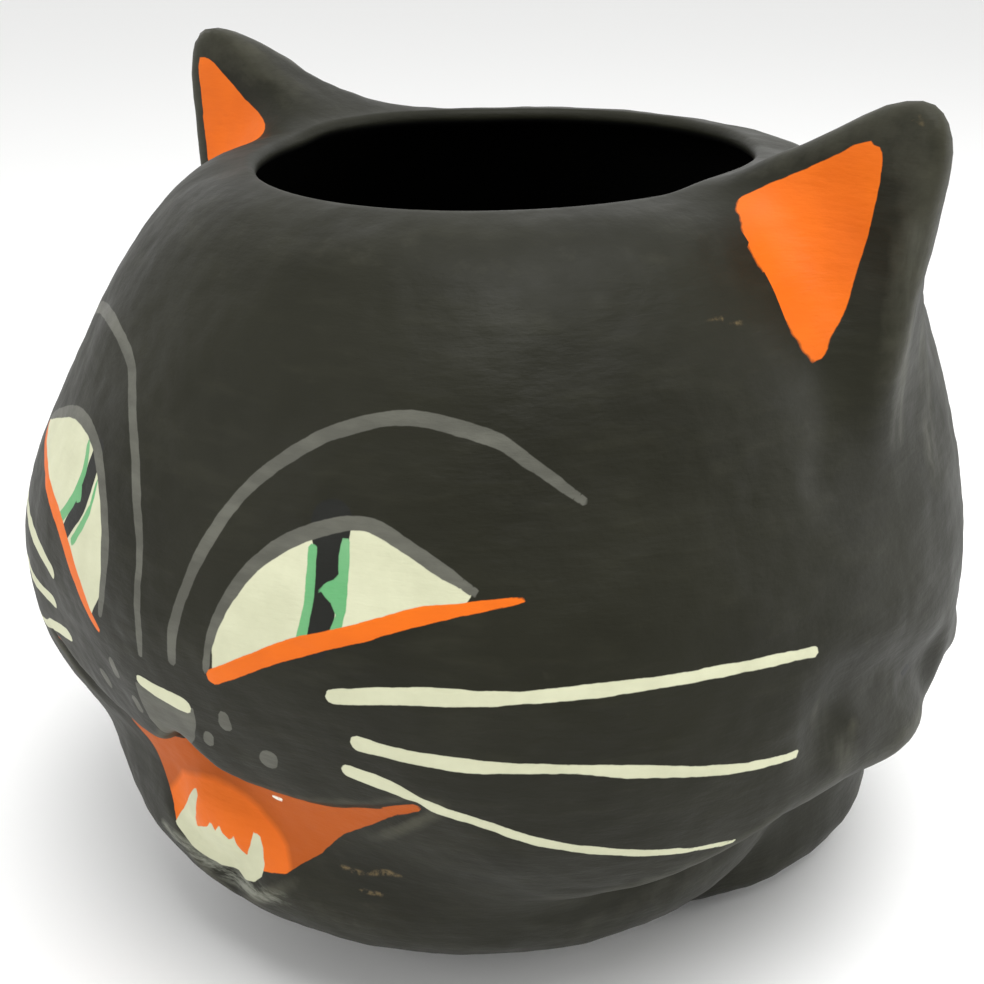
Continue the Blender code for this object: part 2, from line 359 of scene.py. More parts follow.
def shell_rings(field, start_ring, shares):
    # Rings of points from the ring at the lip down towards the middle of the underside.
    toward = start_ring - CORE
    first = np.arctan2(np.hypot(toward[:, 0], toward[:, 1]), toward[:, 2])
    heading = np.arctan2(toward[:, 1], toward[:, 0])
    origins = np.broadcast_to(CORE, start_ring.shape)
    rings = []
    for share in shares:
        polar = first + (math.pi - first) * share
        level = np.sin(polar)
        directions = np.column_stack([level * np.cos(heading), level * np.sin(heading), np.cos(polar)])
        rings.append(crossing(field, origins, directions, FAR))
    return rings


def spread(count, places, weight):
    # Values along places that lie closer together where the weight is high.
    total = np.concatenate([[0.0], np.cumsum((weight[1:] + weight[:-1]) / 2 * np.diff(places))])
    return np.interp(np.linspace(0, total[-1], count), total, places)


coarse_headings = np.linspace(0, 2 * math.pi, COARSE_COLUMNS + 1)
coarse_shares = np.linspace(0.01, 0.97, COARSE_ROWS)
coarse_top, _ = rim_points(outside, coarse_headings)
coarse = np.array(shell_rings(outside, coarse_top, coarse_shares))
across = np.linalg.norm(np.diff(coarse, axis=1), axis=-1).max(axis=0)
down = np.percentile(np.linalg.norm(np.diff(coarse, axis=0), axis=-1), 85, axis=1)
from_face = np.abs((coarse_headings - 1.5 * math.pi + math.pi) % (2 * math.pi) - math.pi)
on_face = 1.0 + FACE_CLOSENESS * (from_face < FACE_HALF_ANGLE)
front_heights = coarse[:, COARSE_COLUMNS * 3 // 4, 2]
at_face = 1.0 + FACE_CLOSENESS * ((front_heights > FACE_LOW) & (front_heights < FACE_TOP))
column_weight = np.interp(coarse_headings, (coarse_headings[1:] + coarse_headings[:-1]) / 2, across) * on_face
row_weight = np.interp(coarse_shares, (coarse_shares[1:] + coarse_shares[:-1]) / 2, down) * at_face
row_weight[coarse[:, :, 2].max(axis=1) < 1 * MM] *= UNDERSIDE_CLOSENESS
row_weight[coarse[:, :, 2].max(axis=1) > EAR_LOW] *= EAR_CLOSENESS
wrapped = np.concatenate([column_weight[-5:-1], column_weight, column_weight[1:5]])
column_weight = np.convolve(wrapped, np.ones(9) / 9, "valid")
headings = spread(COLUMNS + 1, coarse_headings, column_weight)[:-1]
full_shares = np.concatenate([[0.0], coarse_shares, [1.0]])
full_weight = np.concatenate([row_weight[:1], row_weight, row_weight[-1:]])
shares = spread(OUTER_ROWS + 1, full_shares, full_weight)[1:-1]
print("finest column step in degrees:", round(math.degrees(np.diff(headings).min()), 3))

# %% [markdown]
# Dried pulp is never quite smooth. Waves of many lengths and directions, added up, give the soft
# lumps that show when light rakes over the head. They only go inwards, so the head stays inside
# its true size. Near the jaw, behind the ears and round the foot the pulp was wiped with a damp
# brush, which left longer, level wrinkles.

# %% Lumps and wrinkles of dried pulp
LUMP_DEPTH = 0.7 * MM
WRINKLE_DEPTH = 0.35 * MM
chance = np.random.default_rng(7)


def waves(p, count, shortest, longest, stretch):
    # A sum of waves between about -1 and 1. A stretch over 1 makes them longer along an axis.
    total = np.zeros(p.shape[:-1])
    for _ in range(count):
        direction = chance.normal(size=3)
        direction = direction / np.linalg.norm(direction) / np.array(stretch)
        length = shortest * (longest / shortest) ** chance.random()
        total += np.sin(p @ direction * (2 * math.pi / length) + chance.random() * 2 * math.pi)
    return total / math.sqrt(count)


def pulp_relief(p):
    lumps = waves(p, 28, 16 * MM, 60 * MM, (1, 1, 1))
    fine = waves(p, 24, 5 * MM, 14 * MM, (1, 1, 1))
    wrinkles = waves(p, 30, 3.5 * MM, 9 * MM, (4, 4, 1))
    low = np.clip((80 * MM - p[..., 2]) / (40 * MM), 0, 1)
    aside = np.clip((np.abs(p[..., 0]) - 30 * MM) / (40 * MM), 0, 1)
    behind = np.clip((p[..., 1] + 20 * MM) / (50 * MM), 0, 1)
    wiped = np.maximum(low * aside, 0.6 * behind)
    depth = LUMP_DEPTH * (0.5 - 0.30 * lumps - 0.10 * fine)
    return np.clip(depth, 0, 1.3 * LUMP_DEPTH) + WRINKLE_DEPTH * wiped * np.clip(0.5 - 0.4 * wrinkles, 0, 1)


# %% [markdown]
# The outer rings, the half round of the lip and the inner rings join into one closed skin. The
# inner side has a quarter of the columns, because only plain dark paint shows in it.

# %% The shell
top_ring, away = rim_points(outside, headings)
outer_rings = [top_ring] + shell_rings(outside, top_ring, shares)
outer_points = np.concatenate(outer_rings)
outer_normals = steepness(outside, outer_points)
carve = pulp_relief(outer_points)
# The lip keeps its round, and the underside stays flat to stand on.
carve *= np.clip(beyond_opening(outer_points) / (6 * MM), 0, 1) * np.clip(outer_points[:, 2] / (6 * MM), 0, 1)
shaped = outer_points - outer_normals * carve[:, None]
outer_rings = list(shaped.reshape(len(outer_rings), COLUMNS, 3))

half_wall = WALL / 2
lip_middle = top_ring - np.array([0.0, 0.0, half_wall])
lip_rings = []
for step in range(1, LIP_STEPS):
    turn = math.pi * step / LIP_STEPS
    shift = np.column_stack([-away * math.sin(turn), np.full(COLUMNS, math.cos(turn))])
    lip_rings.append(lip_middle + shift * half_wall)
under_ring = lip_middle - np.array([0.0, 0.0, half_wall])
# More inner rings lie where the cheeks end in an edge over the foot.
inner_places = np.linspace(0, 1, 400)
at_edge = 1 + 3 * np.exp(-(((inner_places - 0.56) / 0.10) ** 2))
inner_shares = spread(INNER_ROWS + 1, inner_places, at_edge)[1:-1]
inner_rings = [ring[::INNER_STEP] for ring in shell_rings(inside, under_ring, inner_shares)]
rings = outer_rings[::-1] + lip_rings + [under_ring] + inner_rings
print("rings:", len(rings), "points on the outer side:", len(outer_points))
wall_gap = -outside(np.concatenate(inner_rings)) / MM
print("thinnest place of the wall in mm, about:", round(float(wall_gap.min()), 2))

# %% Faces between the rings
points = np.concatenate(rings + [np.array([[0.0, 0.0, 0.0], [0.0, 0.0, FLOOR]])])
points = np.clip(points, cad_box[0], cad_box[1])
sizes = [len(ring) for ring in rings]
starts = np.concatenate([[0], np.cumsum(sizes)[:-1]])
faces = []
face_uvs = []
rows_total = len(rings) + 1


def uv_at(ring_number, column, size):
    return (column / size, (ring_number + 1) / rows_total)


for k in range(len(rings) - 1):
    a, b, n, m = starts[k], starts[k + 1], sizes[k], sizes[k + 1]
    for i in range(m):
        j = (i + 1) % m
        if n == m:
            faces.append((a + i, b + i, b + j, a + j))
            face_uvs.append((uv_at(k, i, n), uv_at(k + 1, i, n), uv_at(k + 1, i + 1, n), uv_at(k, i + 1, n)))
        else:
            # A fan of triangles joins the fine ring to the coarse one.
            half_step = INNER_STEP // 2
            for step in range(INNER_STEP):
                low, high = INNER_STEP * i + step, INNER_STEP * i + step + 1
                far_end = i if step < half_step else i + 1
                faces.append((a + low, b + far_end % m, a + high % n))
                face_uvs.append((uv_at(k, low, n), uv_at(k + 1, far_end, m), uv_at(k, high, n)))
            middle_column = INNER_STEP * i + half_step
            faces.append((a + middle_column, b + i, b + j))
            face_uvs.append((uv_at(k, middle_column, n), uv_at(k + 1, i, m), uv_at(k + 1, i + 1, m)))
below, floor_middle = len(points) - 2, len(points) - 1
for i in range(sizes[0]):
    faces.append((below, starts[0] + i, starts[0] + (i + 1) % sizes[0]))
    face_uvs.append((((i + 0.5) / sizes[0], 0.0), uv_at(0, i, sizes[0]), uv_at(0, i + 1, sizes[0])))
last = len(rings) - 1
for i in range(sizes[-1]):
    faces.append((floor_middle, starts[-1] + (i + 1) % sizes[-1], starts[-1] + i))
    face_uvs.append((((i + 0.5) / sizes[-1], 1.0), uv_at(last, i + 1, sizes[-1]), uv_at(last, i, sizes[-1])))

mesh = bpy.data.meshes.new("cat_head_shell")
mesh.from_pydata([tuple(p) for p in points], [], faces)
mesh.update()
middle = len(mesh.polygons) // 3
polygon = mesh.polygons[middle]
outward = steepness(outside, np.array([list(polygon.center)]))[0]
turned = float(np.dot(outward, np.array(polygon.normal))) < 0
uv_map = mesh.uv_layers.new(name="OFBake")
uv_map.data.foreach_set("uv", [value for face in face_uvs for corner in face for value in corner])
if turned:
    mesh.flip_normals()
mesh.polygons.foreach_set("use_smooth", [True] * len(mesh.polygons))
head = bpy.data.objects.new("cat_head_shell", mesh)
bpy.context.collection.objects.link(head)
triangles = sum(len(p.vertices) - 2 for p in mesh.polygons)
print("triangles:", triangles, "turned:", turned)

# %% [markdown]
# The face was painted freehand. A stroke is a line of places, each with an angle round the head
# from the middle of the face towards the cat's left, a height above the table and the width of
# the brush there. Each vertex then gets its distance to the edge of the nearest stroke, and the
# material draws the paint wherever that distance is below nothing. A texture painted in an image
# editor would do as well, but distances keep the edges sharp at any size.

# %% Painting with distances
FAR_AWAY = 20.0
skin_count = len(outer_points)
skin_points = outer_points.reshape(len(outer_rings), COLUMNS, 3)[::-1].reshape(-1, 3)
skin_normals = outer_normals.reshape(len(outer_rings), COLUMNS, 3)[::-1].reshape(-1, 3)
skin_angle = np.degrees(np.arctan2(skin_points[:, 0], -skin_points[:, 1]))
skin_height = skin_points[:, 2] / MM


def on_head(angles, heights):
    # The place on the surface at each angle in degrees and height in millimetres.
    turn = np.radians(angles)
    directions = np.column_stack([np.sin(turn), -np.cos(turn), np.zeros(len(turn))])
    origins = np.column_stack([np.zeros(len(turn)), np.zeros(len(turn)), np.array(heights) * MM])
    return crossing(outside, origins, directions, 1.3 * HALF_DEPTH, 200, 20)


def curved(points_by_hand, steps=6):
    # A smooth curve through the given points (Catmull-Rom).
    k = np.array(points_by_hand, dtype=float)
    k = np.concatenate([2 * k[:1] - k[1:2], k, 2 * k[-1:] - k[-2:-1]])
    path = []
    for i in range(1, len(k) - 2):
        for t in np.linspace(0, 1, steps, endpoint=False):
            p0, p1, p2, p3 = k[i - 1], k[i], k[i + 1], k[i + 2]
            square = (2 * p0 - 5 * p1 + 4 * p2 - p3) * t**2
            cube = (3 * p1 - p0 - 3 * p2 + p3) * t**3
            path.append(0.5 * (2 * p1 + (p2 - p0) * t + square + cube))
    path.append(k[-2])
    return np.array(path)


def to_line(line, half_widths):
    # Distance in millimetres from the skin to a chain of points, less the half width there.
    low = line.min(0) - FAR_AWAY * MM
    high = line.max(0) + FAR_AWAY * MM
    near = np.all((skin_points > low) & (skin_points < high), axis=1)
    p = skin_points[near]
    best = np.full(len(p), FAR_AWAY)
    for k in range(len(line) - 1):
        along = line[k + 1] - line[k]
        share = np.clip(((p - line[k]) @ along) / (along @ along + 1e-12), 0, 1)
        gap = np.linalg.norm(p - line[k] - share[:, None] * along, axis=1) / MM
        best = np.minimum(best, gap - (half_widths[k] + (half_widths[k + 1] - half_widths[k]) * share))
    distance = np.full(skin_count, FAR_AWAY)
    distance[near] = best
    return distance


def stroke(places):
    path = curved(places)
    return to_line(on_head(path[:, 0], path[:, 1]), path[:, 2] / 2)


def within(x, y, corners):
    # True where a flat point lies inside the outline.
    inside_it = np.zeros(len(x), dtype=bool)
    for (x1, y1), (x2, y2) in zip(corners, np.roll(corners, -1, axis=0)):
        crosses = (y1 > y) != (y2 > y)
        where = x1 + (y - y1) * (x2 - x1) / (y2 - y1 + 1e-12)
        inside_it ^= crosses & (x < where)
    return inside_it


def area(corners):
    # A painted area on the face, less than nothing inside its outline.
    corners = np.array(corners, dtype=float)
    closed = np.concatenate([corners, corners[:1]])
    sides = [np.linspace(a, b, 5)[:-1] for a, b in zip(closed[:-1], closed[1:])]
    fine = np.concatenate(sides + [closed[-1:]])
    edge = to_line(on_head(fine[:, 0], fine[:, 1]), np.zeros(len(fine)))
    front = within(skin_angle, skin_height, corners)
    return np.where(front, -edge, edge)


def other_side(places):
    # The same places on the other side of the face.
    return [(-place[0], *place[1:]) for place in places]


def nearest(*distances):
    return np.minimum.reduce(distances)


# %% [markdown]
# Gray comes first: the brows, the upper lids, the nose and the whisker dots. The cat's right brow
# and lid sit a little higher and closer in than the left ones, because no template was used.

# %% Gray strokes
left_brow = [
    (3.0, 113, 2.4), (3.7, 123, 3.0), (6.2, 140, 3.1), (9.5, 154, 3.2), (14, 163.7, 3.3),
    (19.4, 170.4, 3.3), (27, 174, 3.6), (35.8, 170.6, 3.6), (40.2, 165.4, 3.0), (45.6, 157.7, 1.9),
]
right_brow = [
    (-1.9, 111, 1.8), (-1.4, 119, 2.4), (-2.1, 137.7, 2.6), (-5.5, 153.6, 3.0), (-9.4, 164.5, 3.2),
    (-14, 173, 3.4), (-22, 177.2, 3.4), (-30, 177, 3.4), (-37.3, 173.6, 3.4), (-42, 168, 2.8),
    (-47, 160, 1.8),
]
left_lid = [
    (7.4, 113.8, 1.6), (8.6, 124.8, 2.4), (10.4, 134.1, 3.0), (12.7, 141.8, 3.3), (15.7, 147.4, 3.4),
    (19.3, 151.3, 3.4), (22.5, 153, 3.4), (25.5, 152, 3.3), (30.6, 146.1, 3.1), (34.7, 140.9, 2.2),
]
right_lid = [
    (-8.5, 115.5, 1.6), (-7.8, 123, 2.6), (-7.6, 130.7, 3.2), (-8.4, 139, 3.3), (-10.9, 147.3, 3.4),
    (-14.4, 153.2, 3.6), (-19, 155.9, 3.6), (-25.2, 154.4, 3.3), (-33.8, 147.4, 2.4),
    (-37.8, 143.6, 1.4),
]
dots = [
    [(8.6, 101.8, 3.0), (8.5, 98.9, 3.6)],
    [(5.7, 93.2, 2.9), (5.4, 91.2, 3.2)],
    [(13.2, 92.6, 4.3), (12.9, 91.0, 4.8)],
]
nose = [
    (-4.2, 100.6), (4.6, 100.8), (4.4, 95.4), (3.4, 90.0), (1.9, 86.2), (0.2, 85.2), (-2.2, 86.2),
    (-3.9, 89.5), (-4.4, 95.5),
]
gray_strokes = [left_brow, right_brow, left_lid, right_lid] + dots + [other_side(dot) for dot in dots]
gray_edge = nearest(area(nose), *[stroke(places) for places in gray_strokes])
print("vertices under gray:", int((gray_edge < 0).sum()))

# %% [markdown]
# The eyes are cream halves between the upper lid and an orange line. In each, two green bands with
# a black slit between them make the iris, and the inner edge of the outer band has a small notch.

# %% Eyes
left_line = [
    (8.3, 112.7, 3.9), (12.5, 118.8, 4.4), (17.2, 124.9, 4.5), (23, 130.1, 4.2), (29, 135.2, 4.1),
    (33.7, 137.6, 3.0), (39.4, 139.7, 1.4),
]
right_line = [
    (-9.8, 110.6, 2.4), (-10.7, 113, 3.4), (-13.5, 120, 4.2), (-17.3, 128.4, 4.4), (-22.7, 133.7, 4.0),
    (-28.3, 137.2, 3.0), (-37.6, 142.4, 1.6),
]
left_white = [place[:2] for place in left_lid[1:]] + [place[:2] for place in left_line[-2::-1]]
right_white = [place[:2] for place in right_lid[1:]] + [place[:2] for place in right_line[-2:0:-1]]
white_edge = nearest(area(left_white), area(right_white))
left_slit = [
    (20.2, 153, 9.6), (20.3, 149.4, 8.4), (20.4, 146, 6.2), (20.3, 139, 6.4), (20.1, 131, 6.2),
    (19.9, 126.5, 5.6),
]
right_slit = [
    (-13.7, 153, 5.0), (-13.8, 146, 6.0), (-14.3, 139.5, 6.0), (-16.0, 133.5, 5.2), (-17.4, 129.5, 4.4),
]
slit_edge = nearest(stroke(left_slit), stroke(right_slit))
left_inner = [(18.6, 147.3, 2.0), (18.8, 141.5, 2.3), (18.8, 135.4, 2.2), (18.3, 127.6, 2.3)]
left_outer = [
    (21.5, 149.8), (21.4, 145.8), (21.5, 142.0), (20.5, 141.0), (19.7, 139.2), (20.3, 137.8),
    (21.1, 136.5), (21.6, 134.0), (21.0, 129.5), (22.2, 130.5), (22.6, 135.5), (22.6, 139.6),
    (22.5, 145.5), (22.3, 150),
]
right_outer = [
    (-16.5, 152.6, 1.8), (-15.6, 147, 2.6), (-16.2, 140, 3.4), (-18, 134.5, 3.4), (-20.0, 130.6, 2.6),
]
right_notch = [(-15.4, 142.5, 2.4), (-15.0, 140.5, 2.4)]
right_inner = [
    (-11.8, 146.8, 0.8), (-11.9, 141, 1.4), (-12.6, 136.9, 2.0), (-13.9, 132.4, 2.4),
    (-14.9, 129.6, 2.4),
]
left_green = nearest(stroke(left_inner), area(left_outer))
right_green = nearest(stroke(right_outer), stroke(right_notch), stroke(right_inner))
green_edge = nearest(left_green, right_green)
print("vertices in the eyes:", int((white_edge < 0).sum()), "green:", int((green_edge < 0).sum()))

# %% [markdown]
# Orange fills the carved mouth up to the lip, lines the lower lids, and covers the fronts of the
# ears. The ledge of the lower lip is outlined too, so that the recess behind it can be painted
# darker orange as shade. An ear's front is nearly flat and faces forward, so its paint is placed by
# width and height instead of by angle.

# %% Orange areas
mouth_low = [
    (29.6, 87.8), (28.6, 85.6), (26.4, 82.0), (24.1, 77.4), (19.1, 68.0), (15.2, 57.9), (11.4, 51.1),
    (10.2, 48.5),
]
mouth_low += [(6.4, 45.8), (2, 44.5), (-3, 44.5), (-7, 45), (-9.6, 46.5), (-11.0, 51.5), (-11.9, 54.2)]
mouth_low += [(-13.9, 59.9), (-14.9, 65.0), (-17.5, 73.0), (-21.5, 79.5), (-26.0, 84.5), (-29.8, 88.4)]
ledge = [(-11.9, 53.6), (-8.1, 63.2), (-3.4, 66.9), (-0.8, 68.2), (2.0, 68.2), (4.4, 67.3), (6.4, 65.4)]
ledge += [(7.9, 62.6), (9.1, 59.7), (10.0, 56.4), (10.8, 50.1), (9, 43), (0, 40), (-11, 42)]
# How far the lip lies from the head's axis, and how far the paint stops below the lip's edge.
FRONT_RADIUS = 133 * MM
LIP_TUCK = 1.2
mouth_top = []
for angle in range(-28, 29, 2):
    edge_x = FRONT_RADIUS * abs(math.sin(math.radians(angle)))
    mouth_top.append((angle, float(lip_line(edge_x)) / MM - LIP_TUCK))
left_ear = [
    (78.4, 208.6), (79.2, 210.2), (83.0, 212.6), (93.0, 217.6), (99.7, 221.6), (105.4, 225.2),
    (108.3, 225.5), (110.5, 223.9), (111.3, 219), (110.9, 212.5), (109.6, 203.4), (108.4, 196.4),
    (108.3, 189.0), (107.1, 181.2), (107.5, 178.2), (106.8, 176.1), (103.7, 180.4), (98.7, 187.5),
    (92.8, 195.0), (88.1, 200.6), (80.7, 207.6),
]
right_ear = [
    (-119.4, 225.4), (-117, 226.2), (-114.1, 225.5), (-107.3, 220.9), (-101.3, 215.4), (-88.7, 210.1),
    (-80, 206), (-88, 199), (-98, 187), (-105, 178), (-108, 176), (-112, 184), (-115.6, 195.7),
    (-117.6, 209.1), (-118.6, 219.4),
]


def ear_front(corners):
    corners = np.array(corners, dtype=float)
    x, z = skin_points[:, 0] / MM, skin_height
    edge = np.full(skin_count, FAR_AWAY)
    for (x1, z1), (x2, z2) in zip(corners, np.roll(corners, -1, axis=0)):
        along = np.array([x2 - x1, z2 - z1])
        share = np.clip(((x - x1) * along[0] + (z - z1) * along[1]) / (along @ along), 0, 1)
        edge = np.minimum(edge, np.hypot(x - x1 - share * along[0], z - z1 - share * along[1]))
    signed = np.where(within(x, z, corners), -edge, edge)
    facing = (skin_normals[:, 1] < -0.2) & (skin_points[:, 1] < 10 * MM) & (skin_height > 165)
    return np.where(facing, signed, FAR_AWAY)


lid_lines = nearest(stroke(left_line), stroke(right_line))
mouth_tip = [(25.5, 82.6, 2.2), (27.2, 85.0, 2.6), (28.9, 87.2, 2.2)]
tips = nearest(stroke(mouth_tip), stroke(other_side(mouth_tip)))
orange_edge = nearest(lid_lines, tips, area(mouth_low + mouth_top), ear_front(left_ear), ear_front(right_ear))
print("vertices under orange:", int((orange_edge < 0).sum()))

# %% [markdown]
# Cream goes on last: three whiskers on each side, drawn from the muzzle backwards so that each
# starts blunt and ends thinner, a short bar over the nose, and the teeth.

# %% Cream strokes and teeth
left_whiskers = [
    [
        (21.5, 115.2, 4.0), (27.1, 117.7, 4.1), (31, 118.7, 4.4), (38.6, 119.6, 3.0),
        (45.6, 120.6, 3.3), (52.1, 120.6, 2.8), (59.4, 119.8, 2.7), (66, 118.4, 2.6),
        (70.0, 117.1, 2.7),
    ],
    [
        (23.8, 103.9, 4.2), (28.6, 103.2, 3.2), (34.4, 102.8, 3.6), (42.6, 102.9, 2.4),
        (50.4, 100.4, 3.3), (55.6, 97.7, 2.9), (61.2, 95.1, 2.6), (65, 93.8, 2.4), (67.6, 92.9, 2.0),
    ],
    [
        (22.4, 94.9, 4.2), (26.7, 93.2, 4.0), (30.0, 90.0, 3.1), (34.9, 87.3, 2.6), (39.7, 83.5, 2.7),
        (44.5, 80.2, 2.4), (49.5, 77.0, 2.4), (55.1, 74.0, 2.0), (61.4, 71.7, 1.2),
    ],
]
right_whiskers = [other_side(places) for places in left_whiskers]
nose_bar = [(-3.0, 101.9, 3.6), (-0.8, 101.4, 4.4), (1.5, 101.0, 4.8), (3.4, 100.6, 4.2)]
teeth = [
    (-4.0, 63.2), (-6.3, 57.2), (-9.2, 49.4), (-9.8, 46.1), (-8.2, 44.1), (-6.5, 41.7), (-4.4, 40.1),
    (-2.0, 39.0), (1.0, 40.2), (2.4, 38.9), (4.3, 40.3), (5.9, 43.8), (6.5, 47.9), (6.9, 54.4),
    (6.7, 57.2), (5.9, 58.9), (5.3, 54.9), (4.1, 49.0), (3.6, 50.1), (3.3, 52.2), (3.2, 55.9),
    (2.4, 53.8), (1.5, 55.4), (1.1, 57.5), (0.3, 54.6), (-0.3, 57.4), (-1.1, 55.0), (-5.4, 49.1),
    (-3.6, 56.5), (-3.2, 62.2),
]
whisker_edges = [stroke(places) for places in left_whiskers + right_whiskers]
cream_edge = nearest(area(teeth), stroke(nose_bar), *whisker_edges)
print("vertices under cream:", int((cream_edge < 0).sum()))

# %% [markdown]
# Age and handling left their own marks: a dry smudge of the teeth's paint on the chin, a white
# fleck in the mouth, and tan scratches where the pulp shows through. Along and behind the ear and
# on the tuft, gray streaks are painted highlights where the black catches light.

# %% Marks of age, and painted highlight streaks
smudge_edge = stroke([(-12.7, 40.5, 5), (-5.7, 40, 6), (-0.6, 37, 6), (6.1, 38.5, 6), (9.6, 40.5, 4)])


def mark(places_mm, width):
    # A mark between points given in millimetres in the head's own frame.
    line = np.array(places_mm) * MM
    return to_line(line, np.full(len(line), width / 2))


nick = mark([(117.4, -4.5, 231.4), (119.0, -4.6, 230.9)], 2.0)
jaw_places = [(17.8, 55.4, 0.9), (19.4, 55.2, 1.3), (21.2, 55.4, 1.0), (23.8, 57.5, 1.8), (25.6, 57.5, 0.8)]
jaw_scratch = stroke(jaw_places)
low_scratch = stroke([(20.4, 50.1, 0.8), (23.0, 50.2, 0.9)])
first_ear_scratch = stroke([(63.8, 189.7, 0.9), (66.4, 189.3, 0.9)])
second_ear_scratch = stroke([(67.1, 188.4, 0.9), (69.6, 187.4, 0.7)])
scratch_edge = nearest(nick, jaw_scratch, low_scratch, first_ear_scratch, second_ear_scratch)
fleck_edge = stroke([(9.0, 71.0, 1.0), (10.4, 71.4, 1.3)])
# Streaks of painted highlight: along the ear's outer edge, behind the ear and on the tuft.
sheen_streaks = [
    mark([(122, -6, 205), (121, -2, 183), (120, 0, 169), (120.5, -1, 157)], 7),
    mark([(116, 18, 177), (117, 24, 157), (123, 19, 141)], 7),
    mark([(128, -42, 100), (130, -38, 92), (130, -30, 80)], 5),
]
sheen_streak_edge = nearest(*sheen_streaks)
print("vertices under scratches:", int((scratch_edge < 0).sum()))

# %% [markdown]
# Handling rubs the paint thin on whatever stands proud, so the proud edges are painted lighter:
# partly as that wear, partly as painted sheen where they catch light. How far the surface bulges
# can be read from the field: around a bulge the distance is larger than at its middle.

# %% Wear and painted sheen on the proud edges
reach = 3.0 * MM
bulge = -6 * outside(skin_points)
for axis in np.vstack([np.eye(3), -np.eye(3)]) * reach:
    bulge += outside(skin_points + axis)
bulge = bulge / (reach * reach) * MM
print("bulge per mm, lowest and highest:", round(float(bulge.min()), 3), round(float(bulge.max()), 3))


def attach(name, values, elsewhere):
    # Writes one value for each vertex. The lip and the inner side come after the outer skin.
    full = np.full(len(points), elsewhere, dtype=np.float32)
    full[:skin_count] = values
    layer = mesh.attributes.new(name, "FLOAT", "POINT")
    layer.data.foreach_set("value", full)


layers = {"gray": gray_edge, "white": white_edge, "slit": slit_edge, "green": green_edge}
layers.update({"orange": orange_edge, "cream": cream_edge, "smudge": smudge_edge})
layers.update({"scratch": scratch_edge, "fleck": fleck_edge, "sheen_streaks": sheen_streak_edge, "ledge": area(ledge)})
for name, values in layers.items():
    attach(name, values, FAR_AWAY)
attach("bulge", bulge, 0.0)
inner_mask = np.ones(len(points), dtype=np.float32)
inner_mask[:skin_count] = 0.0
inner_mask[skin_count : skin_count + COLUMNS * (LIP_STEPS // 2)] = 0.0
inner_layer = mesh.attributes.new("inner", "FLOAT", "POINT")
inner_layer.data.foreach_set("value", inner_mask)

# %% [markdown]
# The paint is poster paint on sealed pulp. Its black is a warm, matte near-black that lets a
# little brown through. It is painted lighter gray on proud edges, partly as wear and partly as
# painted sheen, and in a few streaks of painted highlight. The colours over it are opaque and
# just as matte.

# %% Material


def from_hex(text):
    # sRGB hex to the linear colour that nodes use.
    values = [int(text[i : i + 2], 16) / 255 for i in (0, 2, 4)]
    return [v / 12.92 if v <= 0.04045 else ((v + 0.055) / 1.055) ** 2.4 for v in values] + [1.0]


paint = bpy.data.materials.new("poster_paint_on_papier_mache")
paint.use_nodes = True
tree = paint.node_tree
shader = tree.nodes["Principled BSDF"]


def node(kind, settings=None, values=None, **links):
    # Adds a node. Settings are its properties, values its sockets, links come from other nodes.
    made = tree.nodes.new("ShaderNode" + kind)
    for key, value in (settings or {}).items():
        setattr(made, key, value)
    for key, value in (values or {}).items():
        made.inputs[key].default_value = value
    for key, source in links.items():
        socket = made.inputs[int(key[2:])] if key.startswith("in") else made.inputs[key]
        tree.links.new(source, socket)
    return made


place = node("TexCoord").outputs["Object"]


def noise(size_mm, detail=3.0, rough=0.5, vector=place):
    # A noise whose lumps are about this many millimetres across.
    values = {"Scale": 1000.0 / size_mm, "Detail": detail, "Roughness": rough}
    return node("TexNoise", None, values, Vector=vector).outputs["Fac"]


def stepped(value, low, high, to_low=0.0, to_high=1.0):
    # Runs from one value to another while the input runs from low to high.
    values = {"From Min": low, "From Max": high, "To Min": to_low, "To Max": to_high}
    return node("MapRange", None, values, Value=value).outputs["Result"]


def maths(operation, a, b):
    made = tree.nodes.new("ShaderNodeMath")
    made.operation = operation
    for socket, source in zip(made.inputs, (a, b)):
        if isinstance(source, (int, float)):
            socket.default_value = source
        else:
            tree.links.new(source, socket)
    return made.outputs[0]


def blend(share, first, second):
    # Mixes two colours, each a hex text or a node's output.
    made = tree.nodes.new("ShaderNodeMix")
    made.data_type = "RGBA"
    if isinstance(share, (int, float)):
        made.inputs["Factor"].default_value = share
    else:
        tree.links.new(share, made.inputs["Factor"])
    for socket, source in ((made.inputs[6], first), (made.inputs[7], second)):
        if isinstance(source, str):
            socket.default_value = from_hex(source)
        else:
            tree.links.new(source, socket)
    return made.outputs[2]


def around_nothing(value, amount):
    # Shifts a noise to lie evenly round nothing and stretches it.
    return maths("MULTIPLY", maths("SUBTRACT", value, 0.5), amount)


def layer_value(name):
    return node("Attribute", {"attribute_name": name}).outputs["Fac"]


# %% [markdown]
# A brush leaves an edge that wavers by a fraction of a millimetre. Two noises shift the distance
# before it is cut, so each stroke gets a live outline.

# %% Paint masks
LONG_WAVER_MM = 0.9
SHORT_WAVER_MM = 0.35
long_waver = around_nothing(noise(9, 2.0), LONG_WAVER_MM)
short_waver = around_nothing(noise(2.5, 2.0), SHORT_WAVER_MM)
waver = maths("ADD", long_waver, short_waver)


def mask(name, softness=0.12):
    return stepped(maths("ADD", layer_value(name), waver), softness, -softness)


gray_mask = mask("gray")
white_mask = mask("white")
slit_mask = mask("slit")
green_mask = mask("green")
orange_mask = mask("orange")
cream_mask = mask("cream")
